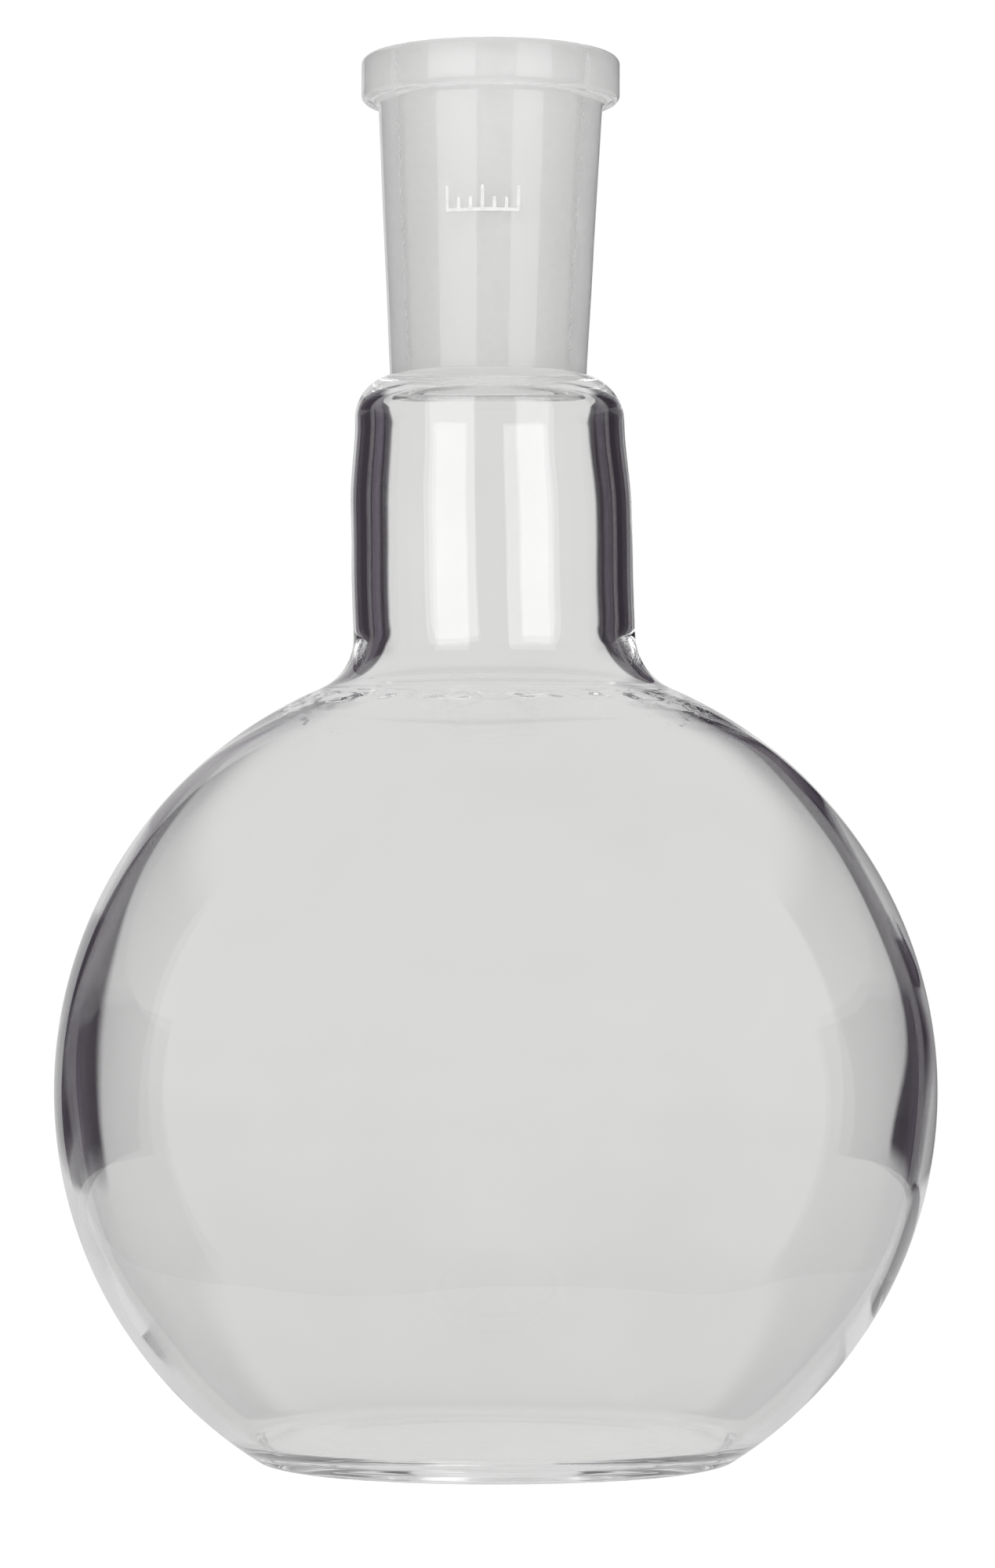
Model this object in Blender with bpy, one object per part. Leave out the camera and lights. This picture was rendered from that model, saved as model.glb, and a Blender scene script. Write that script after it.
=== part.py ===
"""Flat-bottom boiling flask, 500 mL, with a 24/40 standard-taper ground-glass socket.

The flask stands on the XY plane with its axis along +Z. It is made the way a glass shop makes it:
a blown bulb, a neck with a flared foot and a drawn-in shoulder, and a pressed and ground socket with
a collar, joined by two flame seals, and a fired enamel mark on the socket. Every piece of glass is
an outline of lines and tangent arcs in the (radius, height) plane, turned about the axis.
"""
import math

import bmesh
import bpy

MM = 0.001

# Bulb: a blown sphere standing on a flat ring, with a shallow push-up inside the ring.
BULB_R = 54.85 * MM         # outside radius of the sphere
BULB_SETTLE = 0.992         # how far the hot bulb sinks: its heights over those of a true sphere
BULB_WALL = 1.7 * MM
BASE_R = 27.7 * MM          # outer radius of the flat resting ring
PUSH_UP_R = 22.0 * MM       # where the resting ring ends and the push-up begins
PUSH_UP_DEPTH = 0.8 * MM
BASE_WALL = 2.9 * MM
HEEL_R = 4.0 * MM           # outside rounding between the ring and the sphere
INNER_HEEL_R = 6.5 * MM

# Neck: a tube that flares on to the bulb and draws in to the socket.
NECK_R = 17.6 * MM          # outside radius at its fullest
NECK_WALL = 1.9 * MM
NECK_RISE = 34.7 * MM       # from the crown of the sphere to the top of the shoulder
NECK_DRAW = 11.0 * MM       # length over which the tube narrows to its top radius
FOOT_FILLET_R = 7.5 * MM    # outside fillet between the neck and the bulb
FOOT_SEAL_STEP = 2.9 * MM   # from the end of the fillet out to the seal on the bulb
SHOULDER_STEP = 4.25 * MM   # how far the neck's top stands out past the hole for the socket
SHOULDER_R = 5.5 * MM       # outside rounding of the shoulder
SHOULDER_WALL = 2.2 * MM
INNER_SHOULDER_R = 2.2 * MM

# Socket: the 24/40 standard taper is 24 mm across its mouth and narrows 1 in 10 over 40 mm.
MOUTH_R = 12.0 * MM
GROUND_LENGTH = 40.0 * MM
TAPER = 0.1                 # change of diameter per unit of length
SOCKET_WALL = 2.3 * MM
COLLAR_STEP = 1.9 * MM      # how far the collar stands out past the wall at the mouth
COLLAR_HEIGHT = 5.6 * MM
COLLAR_EDGE_R = 0.9 * MM    # rounding of the collar's two outer edges
COLLAR_FILLET_R = 0.8 * MM  # fillet between the collar's underside and the taper
MOUTH_EDGE_R = 0.5 * MM     # rounding of the mouth's edge

# Enamel size mark: a small comb of ticks on a base line.
MARK_WIDTH = 9.3 * MM
MARK_HEIGHT = 3.2 * MM
MARK_LINE = 0.55 * MM       # thickness of the base line and of each tick
MARK_TICKS = 7
MARK_THICKNESS = 0.15 * MM
MARK_DROP = 19.5 * MM       # from the mouth down to the middle of the mark
MARK_TURN = math.radians(-3.6)  # from the front of the flask, positive towards +X

SEAL_GAP = 0.3 * MM         # clearance kept between pieces that are fused on the real flask
SEGMENTS = 60               # facets round a turned piece
ARC_STEP = math.radians(6)  # facets along the sphere
FILLET_STEPS = 4            # facets along a small rounding
WIDE_FILLET_STEPS = 7       # facets along the shoulder and the foot
NECK_STEPS = 5              # facets along the drawn-in stretch of the neck

# ---- Heights that follow from the driving dimensions ----
SPHERE_Z = HEEL_R + math.sqrt((BULB_R - HEEL_R) ** 2 - BASE_R ** 2)
CROWN_Z = (SPHERE_Z + BULB_R) * BULB_SETTLE
SHOULDER_Z = CROWN_Z + NECK_RISE
MOUTH_Z = SHOULDER_Z + GROUND_LENGTH

# ---- Radii that follow from them ----
THROAT_R = MOUTH_R - GROUND_LENGTH * TAPER / 2
HOLE_R = THROAT_R + SOCKET_WALL + SEAL_GAP          # hole in the shoulder for the socket's stub
NECK_TOP_R = HOLE_R + SHOULDER_STEP
COLLAR_R = MOUTH_R + SOCKET_WALL + COLLAR_STEP


def arc(centre, radius, start, end, steps):
    """Points along an arc in the (radius, height) plane; angles are measured from the +radius axis."""
    turns = [start + (end - start) * i / steps for i in range(steps + 1)]
    return [(centre[0] + radius * math.cos(t), centre[1] + radius * math.sin(t)) for t in turns]


def sphere_arc(radius, start, end):
    """An arc of the bulb, with a facet about every ARC_STEP and a point at its widest."""
    points = []
    for low, high in ((start, 0), (0, end)):
        steps = max(1, round(abs(high - low) / ARC_STEP))
        points += arc((0, SPHERE_Z), radius, low, high, steps)[1:]
    return points


def on_sphere_at(radius, angle):
    """The point of the bulb at an angle above its widest circle."""
    return (radius * math.cos(angle), SPHERE_Z + radius * math.sin(angle))


def settled(points):
    """Points of the true sphere and its fillets, lowered to where the hot bulb settles."""
    return [(r, z * BULB_SETTLE) for r, z in points]


def fillet(centre, radius, start, end, steps=FILLET_STEPS):
    """An arc with the few facets that a rounding needs."""
    return arc(centre, radius, start, end, steps)


def socket_radius(z):
    """Bore radius of the ground taper at a height."""
    return MOUTH_R - (MOUTH_Z - z) * TAPER / 2


def seal_angle():
    """Angle above the bulb's widest circle of the seal between the bulb and the flared foot."""
    fillet_end_r = BULB_R * (NECK_R + FOOT_FILLET_R) / (BULB_R + FOOT_FILLET_R)
    return math.acos((fillet_end_r + FOOT_SEAL_STEP) / BULB_R)


def push_up(radius):
    """Height of the push-up over the resting plane, a shallow paraboloid."""
    return PUSH_UP_DEPTH * (1 - (radius / PUSH_UP_R) ** 2)


def push_up_points(offset):
    """Points from the axis out to the edge of the push-up, raised by an offset."""
    radii = [PUSH_UP_R * i / FILLET_STEPS for i in range(FILLET_STEPS + 1)]
    return [(r, offset + push_up(r)) for r in radii]


def foot_fillet(neck_radius, sphere_radius, fillet_radius):
    """Centre of the fillet between a vertical neck and a sphere, and its angle on the sphere."""
    centre_r = neck_radius + fillet_radius
    rise = math.sqrt((sphere_radius + fillet_radius) ** 2 - centre_r ** 2)
    return (centre_r, SPHERE_Z + rise), math.atan2(rise, centre_r)


def neck_side(foot_z, inset):
    """The neck's side from its foot up to the shoulder, easing in over NECK_DRAW to its top radius."""
    top_z = SHOULDER_Z - SHOULDER_R
    start_z = max(foot_z, top_z - NECK_DRAW)
    points = []
    for i in range(NECK_STEPS + 1):
        share = i / NECK_STEPS
        ease = share * share * (3 - 2 * share)
        radius = NECK_R + (NECK_TOP_R - NECK_R) * ease
        points.append((radius - inset, start_z + (top_z - start_z) * share))
    return points


def bulb_outline():
    """Heel, resting ring, push-up and sphere outside; inner sphere and floor inside."""
    seal = seal_angle() - SEAL_GAP / BULB_R
    heel = math.atan2(HEEL_R - SPHERE_Z, BASE_R)
    outside = push_up_points(0)
    outside += fillet((BASE_R, HEEL_R), HEEL_R, -math.pi / 2, heel)
    outside += sphere_arc(BULB_R, heel, seal)

    inner_r = BULB_R - BULB_WALL
    heel_z = BASE_WALL + INNER_HEEL_R
    floor_r = math.sqrt((inner_r - INNER_HEEL_R) ** 2 - (SPHERE_Z - heel_z) ** 2)
    inner_heel = math.atan2(heel_z - SPHERE_Z, floor_r)
    inside = [on_sphere_at(inner_r, seal)] + sphere_arc(inner_r, seal, inner_heel)
    inside += fillet((floor_r, heel_z), INNER_HEEL_R, inner_heel, -math.pi / 2)[1:]
    inside += reversed(push_up_points(BASE_WALL))
    return settled(outside + inside)


def shoulder_arc():
    """The shoulder's rounding up to the hole for the socket, with a flat where the rounding is small."""
    centre = (NECK_TOP_R - SHOULDER_R, SHOULDER_Z - SHOULDER_R)
    reach = max(0, HOLE_R - centre[0])
    points = fillet(centre, SHOULDER_R, 0, math.acos(reach / SHOULDER_R), WIDE_FILLET_STEPS)
    return points + [(HOLE_R, points[-1][1])]


def neck_outline():
    """Flared foot, neck tube and drawn-in shoulder, with a hole that the socket is sealed into."""
    seal = seal_angle()
    foot, at_sphere = foot_fillet(NECK_R, BULB_R, FOOT_FILLET_R)
    flare = [on_sphere_at(BULB_R, seal)]
    flare += fillet(foot, FOOT_FILLET_R, at_sphere + math.pi, math.pi, WIDE_FILLET_STEPS)
    outside = settled(flare) + neck_side(flare[-1][1], 0)
    outside += shoulder_arc()[1:]

    ceiling_z = outside[-1][1] - SHOULDER_WALL
    top_r = NECK_TOP_R - NECK_WALL
    corner_r = min(INNER_SHOULDER_R, top_r - HOLE_R)
    inner_sphere_r = BULB_R - BULB_WALL
    inner_fillet_r = FOOT_FILLET_R - NECK_WALL
    inner_foot, at_inner = foot_fillet(NECK_R - NECK_WALL, inner_sphere_r, inner_fillet_r)
    inside = [(HOLE_R, ceiling_z)]
    inside += fillet((top_r - corner_r, ceiling_z - corner_r), corner_r, math.pi / 2, 0)
    inside += reversed(neck_side(flare[-1][1], NECK_WALL))
    inner_flare = fillet(inner_foot, inner_fillet_r, math.pi, at_inner + math.pi, WIDE_FILLET_STEPS)
    inner_flare += [on_sphere_at(inner_sphere_r, seal)]
    return outside + inside + settled(inner_flare)


def socket_outline():
    """Tapered bore, rolled collar and tapered outside, with a plain stub down through the shoulder."""
    stub_r = THROAT_R + SOCKET_WALL
    stub_end_z = shoulder_arc()[-1][1] - SHOULDER_WALL
    under_z = MOUTH_Z - COLLAR_HEIGHT
    wall_at_collar = socket_radius(under_z) + SOCKET_WALL

    points = [(THROAT_R, stub_end_z), (stub_r, stub_end_z), (stub_r, SHOULDER_Z)]
    points += fillet((wall_at_collar + COLLAR_FILLET_R, under_z - COLLAR_FILLET_R),
                     COLLAR_FILLET_R, math.pi, math.pi / 2)
    points += fillet((COLLAR_R - COLLAR_EDGE_R, under_z + COLLAR_EDGE_R),
                     COLLAR_EDGE_R, -math.pi / 2, 0)
    points += fillet((COLLAR_R - COLLAR_EDGE_R, MOUTH_Z - COLLAR_EDGE_R),
                     COLLAR_EDGE_R, 0, math.pi / 2)
    points += fillet((MOUTH_R + MOUTH_EDGE_R, MOUTH_Z - MOUTH_EDGE_R),
                     MOUTH_EDGE_R, math.pi / 2, math.pi)
    points += [(THROAT_R, SHOULDER_Z)]
    return points


def glass(name, colour, roughness):
    """A transmitting Principled material."""
    material = bpy.data.materials.new(name)
    material.use_nodes = True
    shader = material.node_tree.nodes["Principled BSDF"]
    shader.inputs["Base Color"].default_value = colour
    shader.inputs["Roughness"].default_value = roughness
    shader.inputs["Transmission Weight"].default_value = 1.0
    shader.inputs["IOR"].default_value = 1.474
    return material


def enamel():
    """White fired enamel."""
    material = bpy.data.materials.new("white_enamel")
    material.use_nodes = True
    shader = material.node_tree.nodes["Principled BSDF"]
    shader.inputs["Base Color"].default_value = (0.9, 0.9, 0.89, 1)
    shader.inputs["Roughness"].default_value = 0.45
    return material


def add_object(name, bm, material):
    """Put a finished bmesh in the scene as a smooth-shaded object with sharp edges kept."""
    bmesh.ops.recalc_face_normals(bm, faces=bm.faces[:])
    mesh = bpy.data.meshes.new(name)
    bm.to_mesh(mesh)
    bm.free()
    mesh.shade_smooth()
    mesh.set_sharp_from_angle(angle=math.radians(35))
    mesh.materials.append(material)
    piece = bpy.data.objects.new(name, mesh)
    bpy.context.scene.collection.objects.link(piece)
    return piece


def turn(name, outline, material):
    """Turn a closed outline about the Z axis into one solid."""
    bm = bmesh.new()
    verts = [bm.verts.new((r, 0, z)) for r, z in outline]
    on_axis = outline[0][0] == 0
    edges = [bm.edges.new((verts[i], verts[i + 1])) for i in range(len(verts) - 1)]
    if not on_axis:
        edges.append(bm.edges.new((verts[-1], verts[0])))
    bmesh.ops.spin(bm, geom=verts + edges, cent=(0, 0, 0), axis=(0, 0, 1), dvec=(0, 0, 0),
                   angle=2 * math.pi, steps=SEGMENTS, use_merge=True, use_duplicate=False)
    bmesh.ops.remove_doubles(bm, verts=bm.verts[:], dist=0.001 * MM)
    return add_object(name, bm, material)


def size_mark(name, material):
    """A comb of ticks on a base line, wrapped round the tapered outside of the socket."""
    middle_z = MOUTH_Z - MARK_DROP
    low_z = middle_z - MARK_HEIGHT / 2
    wall_r = socket_radius(middle_z) + SOCKET_WALL
    pitch = (MARK_WIDTH - MARK_LINE) / (MARK_TICKS - 1)
    starts = [i * pitch - MARK_WIDTH / 2 for i in range(MARK_TICKS)]
    columns = sorted(x for s in starts for x in (s, s + MARK_LINE))
    short_z = low_z + MARK_LINE + (MARK_HEIGHT - MARK_LINE) / 2
    rows = [low_z, low_z + MARK_LINE, short_z, low_z + MARK_HEIGHT]

    def surface_point(x, z, lift):
        turn_angle = MARK_TURN + x / wall_r
        radius = socket_radius(z) + SOCKET_WALL + SEAL_GAP + lift
        return (radius * math.sin(turn_angle), -radius * math.cos(turn_angle), z)

    bm = bmesh.new()
    grid = [[bm.verts.new(surface_point(x, z, 0)) for z in rows] for x in columns]
    for c in range(len(columns) - 1):
        is_tick = c % 2 == 0
        is_long = (c // 2) % 3 == 0
        top = (3 if is_long else 2) if is_tick else 1
        for r in range(top):
            bm.faces.new((grid[c][r], grid[c + 1][r], grid[c + 1][r + 1], grid[c][r + 1]))
    loose = [v for v in bm.verts if not v.link_faces]
    bmesh.ops.delete(bm, geom=loose, context='VERTS')
    raised = bmesh.ops.extrude_face_region(bm, geom=bm.faces[:], use_keep_orig=True)
    for vert in (v for v in raised["geom"] if isinstance(v, bmesh.types.BMVert)):
        outward = vert.co.copy()
        outward.z = 0
        vert.co += outward.normalized() * MARK_THICKNESS
    return add_object(name, bm, material)


def main():
    for old in list(bpy.data.objects):
        bpy.data.objects.remove(old, do_unlink=True)
    clear = glass("clear_glass", (0.93, 0.94, 0.93, 1), 0.02)
    ground = glass("ground_glass", (0.88, 0.88, 0.87, 1), 0.45)
    turn("bulb", bulb_outline(), clear)
    turn("neck_tube", neck_outline(), clear)
    turn("ground_joint", socket_outline(), ground)
    size_mark("size_mark", enamel())


main()
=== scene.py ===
"""The looks of the flat-bottom boiling flask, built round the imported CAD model.

Three pieces of blown glass stand for the three turned CAD solids. Each is one closed mesh turned
about the flask's axis, and neighbours share the same seal faces, so that light passes from piece to
piece as it does through flame-sealed glass. The socket's bore is finely ground. An enamel size mark
lies on the socket.
"""
import math

import bmesh
import bpy
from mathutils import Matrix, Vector, noise


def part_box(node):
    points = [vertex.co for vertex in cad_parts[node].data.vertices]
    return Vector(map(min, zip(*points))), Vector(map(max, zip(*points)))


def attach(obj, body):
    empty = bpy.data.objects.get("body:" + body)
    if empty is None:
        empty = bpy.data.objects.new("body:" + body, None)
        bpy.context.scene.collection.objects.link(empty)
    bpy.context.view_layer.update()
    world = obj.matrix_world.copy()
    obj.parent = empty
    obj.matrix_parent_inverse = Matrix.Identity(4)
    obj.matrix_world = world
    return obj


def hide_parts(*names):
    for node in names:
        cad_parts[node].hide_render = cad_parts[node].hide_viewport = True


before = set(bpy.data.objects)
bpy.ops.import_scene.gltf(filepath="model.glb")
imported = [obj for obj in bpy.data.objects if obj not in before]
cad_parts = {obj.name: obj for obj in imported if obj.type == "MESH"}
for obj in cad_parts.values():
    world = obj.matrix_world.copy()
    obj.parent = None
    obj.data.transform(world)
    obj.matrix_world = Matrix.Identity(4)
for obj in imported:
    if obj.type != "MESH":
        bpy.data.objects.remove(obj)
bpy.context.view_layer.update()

MM = 0.001

# ---- The flask, in the CAD model's own sizes ----
BULB_SETTLE = 0.992         # heights of the settled bulb over those of a true sphere
BULB_WALL = 1.7 * MM
BASE_R = 27.7 * MM
PUSH_UP_R = 22.0 * MM
PUSH_UP_DEPTH = 0.8 * MM
BASE_WALL = 2.9 * MM
HEEL_R = 4.0 * MM
INNER_HEEL_R = 6.5 * MM
NECK_R = 17.6 * MM
NECK_WALL = 1.9 * MM
NECK_TOP_R = 16.85 * MM
NECK_DRAW = 11.0 * MM
FOOT_FILLET_R = 7.5 * MM
INNER_FOOT_R = 10.5 * MM    # the glass is thicker where the neck is sealed on
SHOULDER_R = 5.5 * MM
SHOULDER_WALL = 2.2 * MM
INNER_SHOULDER_R = 2.8 * MM
GROUND_LENGTH = 40.0 * MM
TAPER = 0.1
SOCKET_WALL = 2.3 * MM
COLLAR_HEIGHT = 5.6 * MM
COLLAR_EDGE_R = 0.9 * MM
COLLAR_FILLET_R = 0.8 * MM
MOUTH_R = 12.0 * MM
MOUTH_EDGE_R = 0.5 * MM

BULB_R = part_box("bulb")[1].x
SEAL_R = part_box("neck_tube")[1].x       # where the flared foot meets the bulb
COLLAR_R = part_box("ground_joint")[1].x
MOUTH_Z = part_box("ground_joint")[1].z
SHOULDER_Z = MOUTH_Z - GROUND_LENGTH
THROAT_R = MOUTH_R - GROUND_LENGTH * TAPER / 2
STUB_R = THROAT_R + SOCKET_WALL
SPHERE_Z = HEEL_R + math.sqrt((BULB_R - HEEL_R) ** 2 - BASE_R ** 2)

# ---- Fineness of the turned meshes ----
SEGMENTS = 256                  # faces round each piece of glass
DISH_RINGS = 28                 # rings across the push-up
SIDE_STEP = 0.8 * MM            # between rings along a straight side
ARC_STEP = math.radians(1.5)    # between rings along an arc
EDGE_STEP = math.radians(5)     # the same on the small rounded edges of the collar and the mouth
FINE_STEP = math.radians(0.4)   # the same near the rough seal
SEAL_REACH = math.radians(4)    # how far below the seal the rings are that close
SHARP_EDGE = math.radians(50)
ON_AXIS = 1e-9                  # a smaller radius than this is a point on the axis
ROUNDING = 1e-6                 # allowed when a height is compared with the shoulder's

# ---- Hand-made glass: the neck is sealed on out of true, and walls vary in thickness ----
LEAN = ((0.0, 0.0), (96.0, 0.0), (112.0, -0.45), (128.0, -0.75), (136.0, -0.95), (148.0, -0.85),
        (176.0, -0.65))     # sideways shift of the axis at each height, in millimetres
THINNED = 0.33 * MM         # how much thinner the bulb's wall is blown than its base and neck
WAVE_DEPTH = 0.2 * MM       # how much the bulb's wall thickens and thins
WAVE_SIZE = 20.0 * MM
NECK_WAVE = 0.25            # the same in the neck, as a share of the bulb's
BLOWN_FROM = (8 * MM, 26 * MM)      # heights over which the unevenness sets in above the base,
BLOWN_TO = (116 * MM, 128 * MM)     # and over which it ends below the shoulder
BULB_TO_NECK = (86 * MM, 98 * MM)   # heights over which the bulb turns into the neck
BEAD_R = 24.0 * MM          # the rough ring left by the flame seal
BEAD_WIDTH = 0.7 * MM
BEAD_DEPTH = 0.2 * MM
BEAD_SIZE = 2.4 * MM
BEAD_OUTSIDE = 0.3          # its depth on the outside, as a share of that on the inside


def fade(value, low, high):
    """0 up to low and 1 from high on, eased between them."""
    share = min(1, max(0, (value - low) / (high - low)))
    return share * share * (3 - 2 * share)


def lean(z):
    """Sideways shift of the flask's axis at a height, eased between the stations of LEAN."""
    height = z / MM
    for (low, a), (high, b) in zip(LEAN, LEAN[1:]):
        if height <= high:
            return (a + (b - a) * fade(height, low, high)) * MM
    return LEAN[-1][1] * MM


def uneven(x, y, z, inner):
    """A point of the blown glass with its wall's unevenness and the seal's rough bead."""
    point = Vector((x, y, z))
    on_neck = fade(z, *BULB_TO_NECK)
    blown = fade(z, *BLOWN_FROM) * (1 - fade(z, *BLOWN_TO))
    shift = 0
    if inner:
        wave = noise.noise(point / WAVE_SIZE) * (1 + (NECK_WAVE - 1) * on_neck)
        shift += (WAVE_DEPTH * wave + THINNED * (1 - on_neck)) * blown
    if z > SPHERE_Z:
        bead = math.exp(-((math.hypot(x, y) - BEAD_R) / BEAD_WIDTH) ** 2)
        depth = BEAD_DEPTH * (1 if inner else BEAD_OUTSIDE)
        shift += depth * bead * noise.noise(point / BEAD_SIZE)
    outwards = Vector((x, y, (z - SPHERE_Z) * (1 - on_neck))).normalized()
    return point + outwards * shift


# ---- Outlines in the (radius, height) plane ----

def arc(centre, radius, start, end, step=ARC_STEP):
    """Points along an arc, both ends included."""
    count = max(4, math.ceil(abs(end - start) / step))
    turns = [start + (end - start) * i / count for i in range(count + 1)]
    return [(centre[0] + radius * math.cos(t), centre[1] + radius * math.sin(t)) for t in turns]


def side(start, end):
    """Points along a straight side, both ends included."""
    count = max(2, math.ceil(math.dist(start, end) / SIDE_STEP))
    return [(start[0] + (end[0] - start[0]) * i / count, start[1] + (end[1] - start[1]) * i / count)
            for i in range(count + 1)]


def settled(points):
    """Points of the true sphere and its fillets, lowered to where the hot bulb settles."""
    return [(r, z * BULB_SETTLE) for r, z in points]


def socket_radius(z):
    """Bore radius of the ground taper at a height."""
    return MOUTH_R - (MOUTH_Z - z) * TAPER / 2


def push_up(offset):
    """The shallow dish of the base from the axis outwards, raised by an offset."""
    radii = [PUSH_UP_R * i / DISH_RINGS for i in range(DISH_RINGS + 1)]
    return [(r, offset + PUSH_UP_DEPTH * (1 - (r / PUSH_UP_R) ** 2)) for r in radii]


def foot_fillet(neck_radius, sphere_radius, fillet_radius):
    """Centre of the fillet between a vertical neck and a sphere, and its angle on the sphere."""
    centre_r = neck_radius + fillet_radius
    rise = math.sqrt((sphere_radius + fillet_radius) ** 2 - centre_r ** 2)
    return (centre_r, SPHERE_Z + rise), math.atan2(rise, centre_r)


def neck_side(foot_z, inset):
    """The neck's side up to the shoulder, easing in over NECK_DRAW to its top radius."""
    top_z = SHOULDER_Z - SHOULDER_R
    points = []
    for _, z in side((0, foot_z), (0, top_z)):
        drawn_in = (NECK_R - NECK_TOP_R) * fade(z, top_z - NECK_DRAW, top_z)
        points.append((NECK_R - drawn_in - inset, z))
    return points


def bulb_outline(seal):
    """Outside and inside of the bulb, both from the axis up to the seal with the neck."""
    near_seal = seal - SEAL_REACH
    heel = math.atan2(HEEL_R - SPHERE_Z, BASE_R)
    outside = push_up(0) + side((PUSH_UP_R, 0), (BASE_R, 0))[1:]
    outside += arc((BASE_R, HEEL_R), HEEL_R, -math.pi / 2, heel)[1:]
    outside += arc((0, SPHERE_Z), BULB_R, heel, near_seal)[1:]
    outside += arc((0, SPHERE_Z), BULB_R, near_seal, seal, FINE_STEP)[1:]

    inner_r = BULB_R - BULB_WALL
    heel_z = BASE_WALL + INNER_HEEL_R
    floor_r = math.sqrt((inner_r - INNER_HEEL_R) ** 2 - (SPHERE_Z - heel_z) ** 2)
    inner_heel = math.atan2(heel_z - SPHERE_Z, floor_r)
    inside = push_up(BASE_WALL)
    inside += arc((floor_r, heel_z), INNER_HEEL_R, -math.pi / 2, inner_heel)
    inside += arc((0, SPHERE_Z), inner_r, inner_heel, near_seal)[1:]
    inside += arc((0, SPHERE_Z), inner_r, near_seal, seal, FINE_STEP)[1:]
    return settled(outside), settled(inside)


def neck_outline(seal):
    """Outside and inside of the neck, from its seal with the bulb up to that with the socket."""
    foot, at_sphere = foot_fillet(NECK_R, BULB_R, FOOT_FILLET_R)
    flare = arc((0, SPHERE_Z), BULB_R, seal, at_sphere, FINE_STEP)
    flare += arc(foot, FOOT_FILLET_R, at_sphere + math.pi, math.pi)[1:]
    corner = (NECK_TOP_R - SHOULDER_R, SHOULDER_Z - SHOULDER_R)
    at_hole = math.acos((STUB_R - corner[0]) / SHOULDER_R)
    shoulder = arc(corner, SHOULDER_R, 0, at_hole)
    outside = settled(flare) + neck_side(flare[-1][1] * BULB_SETTLE, 0)[1:] + shoulder[1:]

    ceiling_z = shoulder[-1][1] - SHOULDER_WALL
    inner_r = BULB_R - BULB_WALL
    inner_foot, at_inner = foot_fillet(NECK_R - NECK_WALL, inner_r, INNER_FOOT_R)
    inner_flare = arc((0, SPHERE_Z), inner_r, seal, at_inner, FINE_STEP)
    inner_flare += arc(inner_foot, INNER_FOOT_R, at_inner + math.pi, math.pi)[1:]
    inside = settled(inner_flare)
    inner_corner = (NECK_TOP_R - NECK_WALL - INNER_SHOULDER_R, ceiling_z - INNER_SHOULDER_R)
    inside += [p for p in neck_side(inside[-1][1], NECK_WALL) if p[1] < inner_corner[1]][1:]
    inside += arc(inner_corner, INNER_SHOULDER_R, 0, math.pi / 2)
    inside += [(STUB_R, ceiling_z)]
    return outside, inside


def socket_outline(neck_outside, neck_inside):
    """Outside and inside of the socket, from its seal in the shoulder up to its mouth."""
    under_z = MOUTH_Z - COLLAR_HEIGHT
    wall_r = socket_radius(under_z) + SOCKET_WALL
    outside = side(neck_outside[-1], (STUB_R, SHOULDER_Z))
    outside += side((STUB_R, SHOULDER_Z), (wall_r, under_z - COLLAR_FILLET_R))[1:]
    outside += arc((wall_r + COLLAR_FILLET_R, under_z - COLLAR_FILLET_R), COLLAR_FILLET_R,
                   math.pi, math.pi / 2, EDGE_STEP)[1:]
    outside += arc((COLLAR_R - COLLAR_EDGE_R, under_z + COLLAR_EDGE_R), COLLAR_EDGE_R,
                   -math.pi / 2, 0, EDGE_STEP)
    outside += arc((COLLAR_R - COLLAR_EDGE_R, MOUTH_Z - COLLAR_EDGE_R), COLLAR_EDGE_R,
                   0, math.pi / 2, EDGE_STEP)
    edge_z = MOUTH_Z - MOUTH_EDGE_R
    inside = side((THROAT_R, neck_inside[-1][1]), (THROAT_R, SHOULDER_Z))
    inside += side((THROAT_R, SHOULDER_Z), (socket_radius(edge_z), edge_z))[1:]
    inside += arc((MOUTH_R + MOUTH_EDGE_R, edge_z), MOUTH_EDGE_R,
                  math.pi, math.pi / 2, EDGE_STEP)[1:]
    return outside, inside


# ---- Turned glass ----

def add_piece(name, mesh):
    piece = bpy.data.objects.new(name, mesh)
    bpy.context.scene.collection.objects.link(piece)
    return piece


def turned_ring(r, z, inner):
    """One ring of points of the glass at a radius and a height."""
    turns = [2 * math.pi * s / SEGMENTS for s in range(SEGMENTS)]
    ring = [uneven(r * math.cos(t), r * math.sin(t), z, inner) for t in turns]
    return [(p.x + lean(p.z), p.y, p.z) for p in ring]


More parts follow.
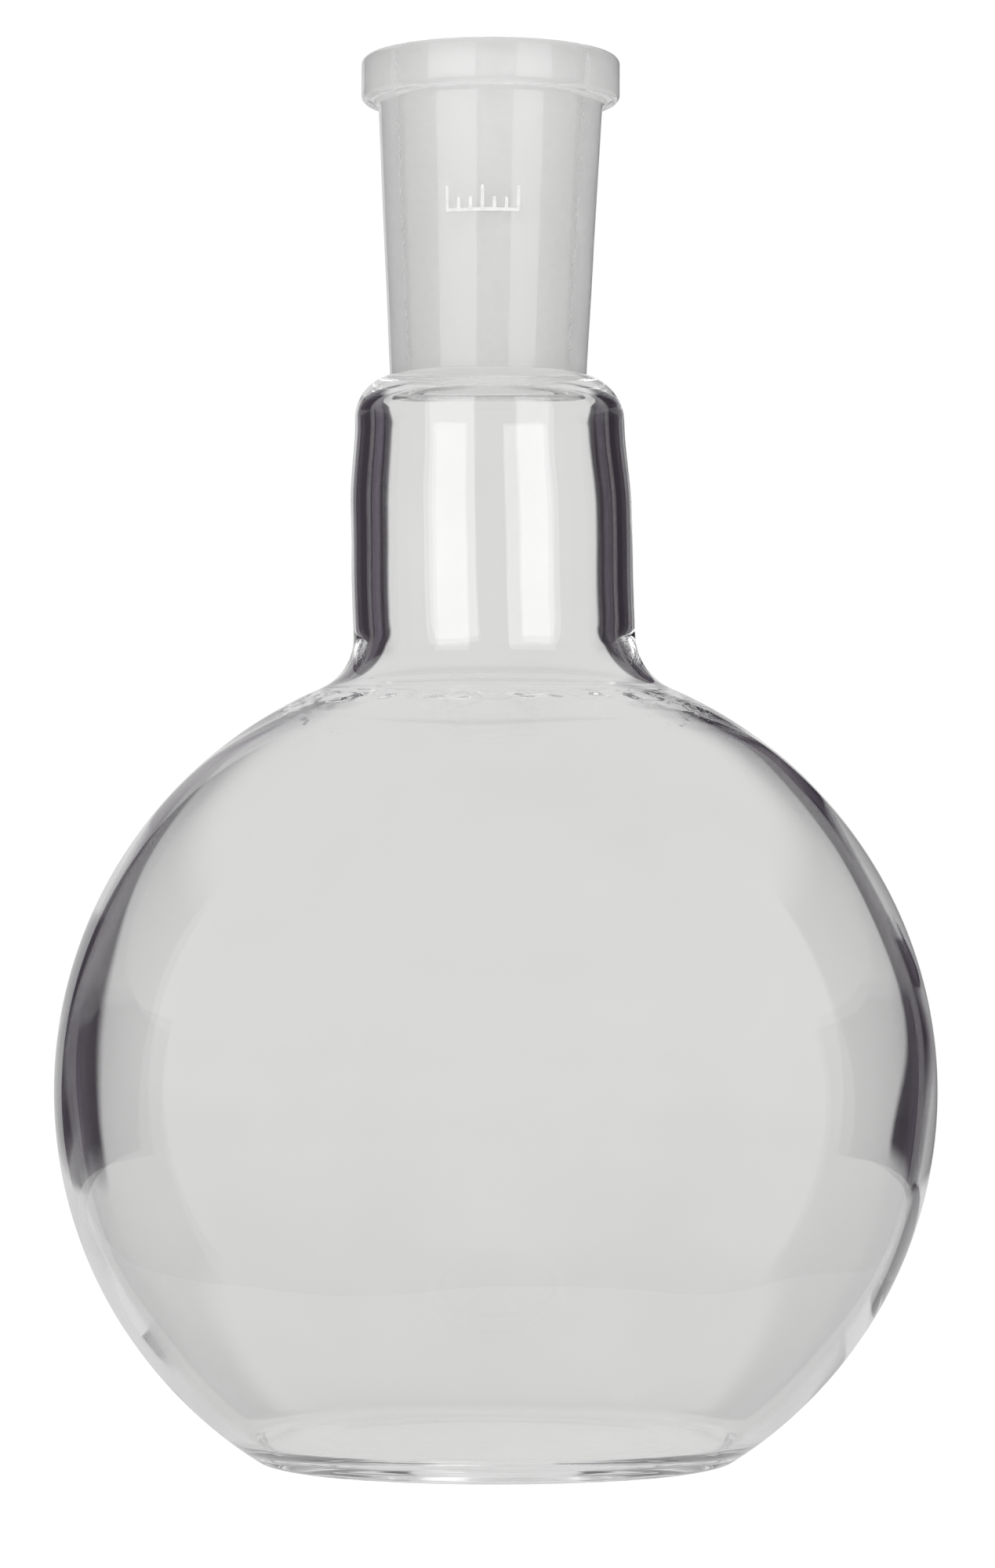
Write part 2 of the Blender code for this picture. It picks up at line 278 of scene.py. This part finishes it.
def turned_glass(name, outside, inside, materials, face_slot):
    """One closed solid between an outside and an inside line, turned about the flask's axis.

    face_slot(a, b, kind) gives the material slot of the faces between outline points a and b;
    kind is outside, inside or seal.
    """
    loop = outside + inside[::-1]
    kinds = ["outside"] * (len(outside) - 1) + ["seal"] + ["inside"] * (len(inside) - 1) + ["seal"]
    rings, verts, faces, slots = [], [], [], []
    for i, (r, z) in enumerate(loop):
        first = len(verts)
        if r < ON_AXIS:
            rings.append([first] * SEGMENTS)
            verts.append((0, 0, z))
        else:
            rings.append(list(range(first, first + SEGMENTS)))
            verts += turned_ring(r, z, inner=i >= len(outside))
    for i, kind in enumerate(kinds):
        j = (i + 1) % len(loop)
        if loop[i][0] < ON_AXIS and loop[j][0] < ON_AXIS:
            continue
        slots += [face_slot(loop[i], loop[j], kind)] * SEGMENTS
        for s in range(SEGMENTS):
            e = (s + 1) % SEGMENTS
            corners = [rings[i][s], rings[i][e], rings[j][e], rings[j][s]]
            faces.append([v for k, v in enumerate(corners) if v != corners[k - 1]])
    mesh = bpy.data.meshes.new(name)
    mesh.from_pydata(verts, [], faces)
    for material in materials:
        mesh.materials.append(material)
    mesh.polygons.foreach_set("material_index", slots)
    mesh.shade_smooth()
    mesh.set_sharp_from_angle(angle=SHARP_EDGE)
    mesh.validate()
    return add_piece(name, mesh)


# ---- Materials ----

GLASS_IOR = 1.474           # of borosilicate glass


def new_material(name):
    material = bpy.data.materials.new(name)
    material.use_nodes = True
    tree = material.node_tree
    return material, tree.nodes, tree.links, tree.nodes["Principled BSDF"]


def add_noise(nodes, links, scale, detail=2.0):
    """Noise in the flask's own coordinates, in metres."""
    where = nodes.new("ShaderNodeTexCoord")
    texture = nodes.new("ShaderNodeTexNoise")
    texture.inputs["Scale"].default_value = scale
    texture.inputs["Detail"].default_value = detail
    links.new(where.outputs["Object"], texture.inputs["Vector"])
    return texture


def tinted(nodes, links, texture, dark, light, target):
    """A colour that wanders between two tints."""
    ramp = nodes.new("ShaderNodeValToRGB")
    ramp.color_ramp.elements[0].position = 0.35
    ramp.color_ramp.elements[0].color = (*dark, 1)
    ramp.color_ramp.elements[1].position = 0.65
    ramp.color_ramp.elements[1].color = (*light, 1)
    links.new(texture.outputs["Fac"], ramp.inputs["Fac"])
    links.new(ramp.outputs["Color"], target)


def bumped(nodes, links, texture, strength, distance, shader):
    """A bump from a texture into the shader's normal."""
    bump = nodes.new("ShaderNodeBump")
    bump.inputs["Strength"].default_value = strength
    bump.inputs["Distance"].default_value = distance
    links.new(texture.outputs["Fac"], bump.inputs["Height"])
    links.new(bump.outputs["Normal"], shader.inputs["Normal"])


def clear_glass():
    """Polished borosilicate, faintly uneven in tint as blown glass is."""
    material, nodes, links, shader = new_material("clear_glass")
    shader.inputs["Roughness"].default_value = 0.0
    shader.inputs["IOR"].default_value = GLASS_IOR
    shader.inputs["Transmission Weight"].default_value = 1.0
    texture = add_noise(nodes, links, 60)
    tinted(nodes, links, texture, (0.98, 0.98, 0.976), (0.997, 0.997, 0.993),
           shader.inputs["Base Color"])
    return material


def ground_glass():
    """The ground face of the bore: the same glass, cut to a fine even matt."""
    material, nodes, links, shader = new_material("ground_glass")
    shader.inputs["Roughness"].default_value = 0.6
    shader.inputs["IOR"].default_value = GLASS_IOR
    shader.inputs["Transmission Weight"].default_value = 0.6
    texture = add_noise(nodes, links, 900, detail=4)
    tinted(nodes, links, texture, (0.96, 0.96, 0.955), (1.0, 1.0, 0.995),
           shader.inputs["Base Color"])
    bumped(nodes, links, add_noise(nodes, links, 2500), 0.4, 0.03 * MM, shader)
    return material


def seal_face():
    """Inside a flame seal there is no surface, so the faces there let light straight through."""
    material, nodes, links, shader = new_material("seal_face")
    nodes.remove(shader)
    clear = nodes.new("ShaderNodeBsdfTransparent")
    links.new(clear.outputs["BSDF"], nodes["Material Output"].inputs["Surface"])
    return material


def white_enamel():
    """Fired enamel: off-white, dull and slightly grainy."""
    material, nodes, links, shader = new_material("white_enamel")
    shader.inputs["Roughness"].default_value = 0.7
    shader.inputs["Specular IOR Level"].default_value = 0.2
    texture = add_noise(nodes, links, 1500)
    tinted(nodes, links, texture, (0.60, 0.60, 0.59), (0.68, 0.68, 0.67),
           shader.inputs["Base Color"])
    bumped(nodes, links, texture, 0.3, 0.02 * MM, shader)
    return material


# ---- The size mark: a comb of ticks on a base line, in thin strokes that lie on the glass ----
MARK_WIDTH = 8.9 * MM
MARK_HEIGHT = 2.8 * MM
MARK_TICKS = 7
LONG_TICK_EVERY = 3
MARK_STROKE = 0.4 * MM
MARK_THICKNESS = 0.05 * MM
MARK_LIFT = 0.03 * MM       # clear of the faceted glass
MARK_DROP = 19.5 * MM       # from the mouth down to the middle of the mark
MARK_TURN = math.radians(-3.6)  # from the front of the flask, positive towards +X
STROKE_STEP = 0.3 * MM      # between cross-sections along a stroke
STROKE_END_STEPS = 6        # cross-sections in each round end
STROKE_TIP = 0.1            # width of the last one, as a share of the stroke's


def on_socket(x, up, lift):
    """A point on the socket's outside, x round it and up from the middle of the mark."""
    middle_z = MOUTH_Z - MARK_DROP
    z = middle_z + up
    turn = MARK_TURN + x / (socket_radius(middle_z) + SOCKET_WALL)
    radius = socket_radius(z) + SOCKET_WALL + MARK_LIFT + lift
    return lean(z) + radius * math.sin(turn), -radius * math.cos(turn), z


def stroke_sections(length):
    """Distance along a stroke and half width there, for each of its cross-sections."""
    radius = MARK_STROKE / 2
    turns = [math.pi / 2 * k / STROKE_END_STEPS for k in range(STROKE_END_STEPS)]
    end = [(radius * math.cos(t), max(radius * math.sin(t), STROKE_TIP * radius)) for t in turns]
    count = max(1, round(length / STROKE_STEP))
    sections = [(-beyond, half) for beyond, half in end]
    sections += [(length * i / count, radius) for i in range(count + 1)]
    return sections + [(length + beyond, half) for beyond, half in end[::-1]]


def stroke(bm, start, end):
    """A flat bar with round ends from start to end, given along and up the socket's outside."""
    start, end = Vector(start), Vector(end)
    along = (end - start).normalized()
    across = Vector((-along.y, along.x))
    rings = []
    for far, half in stroke_sections((end - start).length):
        low, high = (start + along * far + across * offset for offset in (-half, half))
        corners = [(low, 0), (high, 0), (high, MARK_THICKNESS), (low, MARK_THICKNESS)]
        rings.append([bm.verts.new(on_socket(p.x, p.y, lift)) for p, lift in corners])
    for ring, other in zip(rings, rings[1:]):
        for k in range(4):
            bm.faces.new((ring[k - 1], ring[k], other[k], other[k - 1]))
    bm.faces.new(rings[0][::-1])
    bm.faces.new(rings[-1])


def make_mark():
    bm = bmesh.new()
    left, low = -MARK_WIDTH / 2, -MARK_HEIGHT / 2
    stroke(bm, (left, low), (-left, low))
    for i in range(MARK_TICKS):
        x = left + MARK_WIDTH * i / (MARK_TICKS - 1)
        top = -low if i % LONG_TICK_EVERY == 0 else 0
        stroke(bm, (x, low + MARK_STROKE / 2), (x, top))
    bmesh.ops.recalc_face_normals(bm, faces=bm.faces[:])
    mesh = bpy.data.meshes.new("enamel_mark")
    bm.to_mesh(mesh)
    bm.free()
    mesh.materials.append(white_enamel())
    return add_piece("enamel_mark", mesh)


# ---- The flask ----

def place(piece, node):
    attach(piece, "root")
    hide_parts(node)


def plain_slot(a, b, kind):
    """Clear glass but for the see-through seals."""
    return 1 if kind == "seal" else 0


def socket_slot(a, b, kind):
    """Clear glass but for the seal in the shoulder and the ground bore above it."""
    (_, a_z), (_, b_z) = a, b
    if kind == "seal":
        return 1 if max(a_z, b_z) < SHOULDER_Z else 0
    on_taper = min(a_z, b_z) > SHOULDER_Z - ROUNDING
    return 2 if kind == "inside" and on_taper else 0


def make_flask():
    """Every piece in its place; returns those that the softboxes light."""
    clear, ground, see_through = clear_glass(), ground_glass(), seal_face()
    seal = math.acos(SEAL_R / BULB_R)
    neck_lines = neck_outline(seal)
    bulb = turned_glass("bulb_glass", *bulb_outline(seal), [clear, see_through], plain_slot)
    neck = turned_glass("neck_glass", *neck_lines, [clear, see_through], plain_slot)
    socket = turned_glass("socket_glass", *socket_outline(*neck_lines),
                          [clear, see_through, ground], socket_slot)
    mark = make_mark()
    place(bulb, "bulb")
    place(neck, "neck_tube")
    place(socket, "ground_joint")
    place(mark, "size_mark")
    return [neck, socket, mark]


# ---- Sums in node trees ----

def grey(level):
    return level, level, level


class NodeMath:
    """Short calls that add Math, Map Range and Mix nodes to one tree."""

    def __init__(self, tree):
        self.nodes, self.links = tree.nodes, tree.links

    def feed(self, socket, value):
        if isinstance(value, (int, float)):
            socket.default_value = value
        else:
            self.links.new(value, socket)

    def calc(self, operation, *values):
        node = self.nodes.new("ShaderNodeMath")
        node.operation = operation
        for socket, value in zip(node.inputs, values):
            self.feed(socket, value)
        return node.outputs["Value"]

    def step(self, value, middle, soft):
        """0 below a value and 1 above it, with a smooth edge."""
        node = self.nodes.new("ShaderNodeMapRange")
        node.interpolation_type = 'SMOOTHSTEP'
        node.inputs["From Min"].default_value = middle - soft / 2
        node.inputs["From Max"].default_value = middle + soft / 2
        self.feed(node.inputs["Value"], value)
        return node.outputs["Result"]

    def blend(self, share, a, b):
        """Colour a where share is 0 and colour b where it is 1."""
        node = self.nodes.new("ShaderNodeMix")
        node.data_type = 'RGBA'
        self.feed(node.inputs["Factor"], share)
        for socket, colour in ((node.inputs["A"], a), (node.inputs["B"], b)):
            if isinstance(colour, tuple):
                socket.default_value = (*colour, 1)
            else:
                self.links.new(colour, socket)
        return node.outputs["Result"]


# ---- Camera, table and light ----

CAMERA_AT = (0.0002, -0.6425, 0.061)
CAMERA_TILT = 2.08          # degrees above level
CAMERA_LENS = 118.25
FRAME_HEIGHT = 36           # of the camera, in millimetres as its lens is
STUDIO_LIGHT = 0.71         # of the background, to the glass
TABLE_LIGHT = 0.635         # of the table, to the glass
TABLE_DROP = 7              # degrees below the horizon over which one eases into the other
TABLE_SHADE = 0.52          # of the table out to the sides
SHADE_FROM = 15             # degrees to the side where that shade begins
SHADE_EDGE = 8
FILL_LIGHT = 0.93           # of the whole studio, on matt surfaces
CAMERA_WHITE = 1.02         # of the studio and the table, to the camera
TABLE_R = 240 * MM
TABLE_GAP = 0.05 * MM       # from the table up to the flask's base
TABLE_GREY = 0.2            # the table's matt colour
TABLE_GLOW = 0.5            # the table's own share of TABLE_LIGHT
PAINTED_POOL_LIGHT = 0.62           # painted pool of light under the flask, standing in for the light its thick base gathers
# radius of that painted pool of light under the flask
PAINTED_POOL_R = 34 * MM
CARD_COLOUR = (1.05, 0.88, 1.15)
CARD_FOOT = -0.85           # height of the cards' lower edge straight behind the flask, in degrees
CARD_SLOPE = 0.235          # how far that edge falls for each degree to the side
CARD_TOP = 32               # height of their upper edge, in degrees
CARD_EDGE = 1.2             # softness of their sides,
CARD_FOOT_EDGE = 1.0        # of their lower edge,
CARD_TOP_EDGE = 10          # and of their upper edge

# Cards round the flask, darker than the studio: azimuth from and to, in degrees from +Y towards -X,
# their light, and the rays that meet them, either through the glass or mirrored by its surface.
CARDS = [(9.5, 75, 0.04, "through"), (13, 19.5, 0.12, "through"),
         (-75, -9.5, 0.03, "through"), (-19.5, -13, 0.08, "through"),
         (26, 80, 0.06, "mirrored"), (-80, -10, 0.05, "mirrored")]

# Softboxes behind the camera: azimuth as for the cards, width in metres and power in watts.
SOFTBOXES = [("left_softbox", 145, 0.79, 4.8), ("right_softbox", -140.5, 0.58, 3.3)]
SOFTBOX_DISTANCE = 1.0
SOFTBOX_LOW, SOFTBOX_HIGH = -0.25, 0.75
STRAIGHT_THROUGH = 2.5      # more surfaces passed than this, unmirrored: the ray crosses the flask

BOUNCES = 96                # enough for light that runs along inside a wall
SEALS_CROSSED = 24          # see-through seal faces that a ray may cross


def make_camera():
    """Level with the upper bulb, looking slightly up the flask from 0.64 m in front of it."""
    data = bpy.data.cameras.new("camera")
    data.sensor_fit = 'VERTICAL'
    data.sensor_height = FRAME_HEIGHT
    data.lens = CAMERA_LENS
    data.clip_start = 0.01
    camera = bpy.data.objects.new("camera", data)
    camera.location = CAMERA_AT
    camera.rotation_euler = (math.radians(90 + CAMERA_TILT), 0, 0)
    bpy.context.scene.collection.objects.link(camera)
    bpy.context.scene.camera = camera


def light_table():
    """A matt glow with a painted pool of light under the flask, where its thick base would gather
    light; white to the camera.
    """
    material, nodes, links, shader = new_material("floor_white")
    shader.inputs["Base Color"].default_value = (*grey(TABLE_GREY), 1)
    shader.inputs["Roughness"].default_value = 0.9
    shader.inputs["Specular IOR Level"].default_value = 0.0
    shader.inputs["Emission Strength"].default_value = 1.0
    sums = NodeMath(material.node_tree)
    where = nodes.new("ShaderNodeTexCoord")
    radius = nodes.new("ShaderNodeVectorMath")
    radius.operation = 'LENGTH'
    links.new(where.outputs["Object"], radius.inputs[0])
    # painted pool of light: the table glows brighter in a disc under the flask
    outside = sums.step(radius.outputs["Value"], PAINTED_POOL_R, PAINTED_POOL_R / 2)
    glow_with_painted_pool = sums.blend(outside, grey(PAINTED_POOL_LIGHT), grey(TABLE_GLOW))
    path = nodes.new("ShaderNodeLightPath")
    glow_with_painted_pool = sums.blend(path.outputs["Is Camera Ray"], glow_with_painted_pool, grey(CAMERA_WHITE))
    links.new(glow_with_painted_pool, shader.inputs["Emission Color"])
    return material


def make_floor():
    """A round light table, white to the camera and light grey to the glass."""
    bpy.ops.mesh.primitive_circle_add(vertices=128, radius=TABLE_R, fill_type='NGON',
                                      location=(0, 0, -TABLE_GAP))
    floor = bpy.context.object
    floor.name = "floor"
    floor.data.materials.append(light_table())


def ray_direction(sums):
    """Azimuth, from +Y towards -X, and height of a ray that meets the world, in degrees."""
    where = sums.nodes.new("ShaderNodeTexCoord")
    split = sums.nodes.new("ShaderNodeSeparateXYZ")
    sums.links.new(where.outputs["Generated"], split.inputs["Vector"])
    x, y, z = (split.outputs[k] for k in "XYZ")
    turn = sums.calc("ARCTAN2", sums.calc("MULTIPLY", x, -1.0), y)
    azimuth = sums.calc("MULTIPLY", turn, 180 / math.pi)
    height = sums.calc("MULTIPLY", sums.calc("ARCSINE", z), 180 / math.pi)
    return azimuth, height


def studio_light(sums, path):
    """What the glass sees of the studio, the table and the cards."""
    azimuth, height = ray_direction(sums)
    to_side = sums.calc("ABSOLUTE", azimuth)
    drop = sums.calc("MULTIPLY", to_side, CARD_SLOPE)
    above_foot = sums.step(sums.calc("ADD", height, drop), CARD_FOOT, CARD_FOOT_EDGE)
    below_top = sums.calc("SUBTRACT", 1.0, sums.step(height, CARD_TOP, CARD_TOP_EDGE))
    upright = sums.calc("MULTIPLY", above_foot, below_top)
    rays = {"through": path.outputs["Is Transmission Ray"],
            "mirrored": path.outputs["Is Reflection Ray"]}

    over_table = sums.step(height, -TABLE_DROP / 2, TABLE_DROP)
    light = sums.blend(over_table, grey(TABLE_LIGHT), grey(STUDIO_LIGHT))
    beside = sums.step(to_side, SHADE_FROM, SHADE_EDGE)
    low = sums.calc("SUBTRACT", 1.0, above_foot)
    shaded = sums.calc("MULTIPLY", sums.calc("MULTIPLY", beside, low), rays["through"])
    light = sums.blend(shaded, light, grey(TABLE_SHADE))
    for start, end, level, kind in CARDS:
        past_start, past_end = (sums.step(azimuth, edge, CARD_EDGE) for edge in (start, end))
        inside = sums.calc("SUBTRACT", past_start, past_end)
        share = sums.calc("MULTIPLY", sums.calc("MULTIPLY", inside, upright), rays[kind])
        light = sums.blend(share, light, tuple(level * c for c in CARD_COLOUR))
    return light


def make_world():
    """A light studio with dark cards to the left and right; the camera sees it white."""
    world = bpy.data.worlds.new("studio")
    bpy.context.scene.world = world
    world.use_nodes = True
    tree = world.node_tree
    tree.nodes.clear()
    sums = NodeMath(tree)
    path = tree.nodes.new("ShaderNodeLightPath")
    light = studio_light(sums, path)
    matt = sums.calc("MINIMUM", path.outputs["Diffuse Depth"], 1.0)
    light = sums.blend(matt, light, grey(FILL_LIGHT))
    light = sums.blend(path.outputs["Is Camera Ray"], light, grey(CAMERA_WHITE))
    background = tree.nodes.new("ShaderNodeBackground")
    tree.links.new(light, background.inputs["Color"])
    output = tree.nodes.new("ShaderNodeOutputWorld")
    tree.links.new(background.outputs["Background"], output.inputs["Surface"])


def hide_behind_glass(data):
    """Dark to rays that pass straight through the flask, so the light only shows mirrored."""
    data.use_nodes = True
    sums = NodeMath(data.node_tree)
    path = sums.nodes.new("ShaderNodeLightPath")
    bounces = sums.calc("ADD", path.outputs["Glossy Depth"], path.outputs["Diffuse Depth"])
    unbounced = sums.calc("SUBTRACT", 1.0, sums.calc("MINIMUM", bounces, 1.0))
    passed = sums.calc("GREATER_THAN", path.outputs["Transmission Depth"], STRAIGHT_THROUGH)
    straight = sums.calc("MULTIPLY", passed, unbounced)
    strength = sums.calc("SUBTRACT", 1.0, straight)
    sums.links.new(strength, sums.nodes["Emission"].inputs["Strength"])


def softbox(name, azimuth, width, power):
    """A tall rectangular light behind the camera, facing the flask."""
    data = bpy.data.lights.new(name, 'AREA')
    data.shape = 'RECTANGLE'
    data.size = width
    data.size_y = SOFTBOX_HIGH - SOFTBOX_LOW
    data.energy = power
    hide_behind_glass(data)
    light = bpy.data.objects.new(name, data)
    turn = math.radians(azimuth)
    middle = Vector((0, 0, (SOFTBOX_LOW + SOFTBOX_HIGH) / 2))
    outwards = Vector((-math.sin(turn), math.cos(turn), 0))
    light.location = middle + outwards * SOFTBOX_DISTANCE
    light.rotation_euler = (-outwards).to_track_quat('-Z', 'Y').to_euler()
    light.visible_camera = False
    bpy.context.scene.collection.objects.link(light)
    return light


def make_light(lit):
    """The studio round the flask, and the softboxes, which light the neck and the socket only."""
    make_world()
    reach = bpy.data.collections.new("lit_by_softboxes")
    for piece in lit:
        reach.objects.link(piece)
    for box in SOFTBOXES:
        softbox(*box).light_linking.receiver_collection = reach


def render_settings():
    scene = bpy.context.scene
    scene.view_settings.view_transform = 'Standard'
    scene.cycles.max_bounces = BOUNCES
    scene.cycles.transmission_bounces = BOUNCES
    scene.cycles.glossy_bounces = BOUNCES
    scene.cycles.transparent_max_bounces = SEALS_CROSSED


render_settings()
make_camera()
make_floor()
make_light(lit=make_flask())
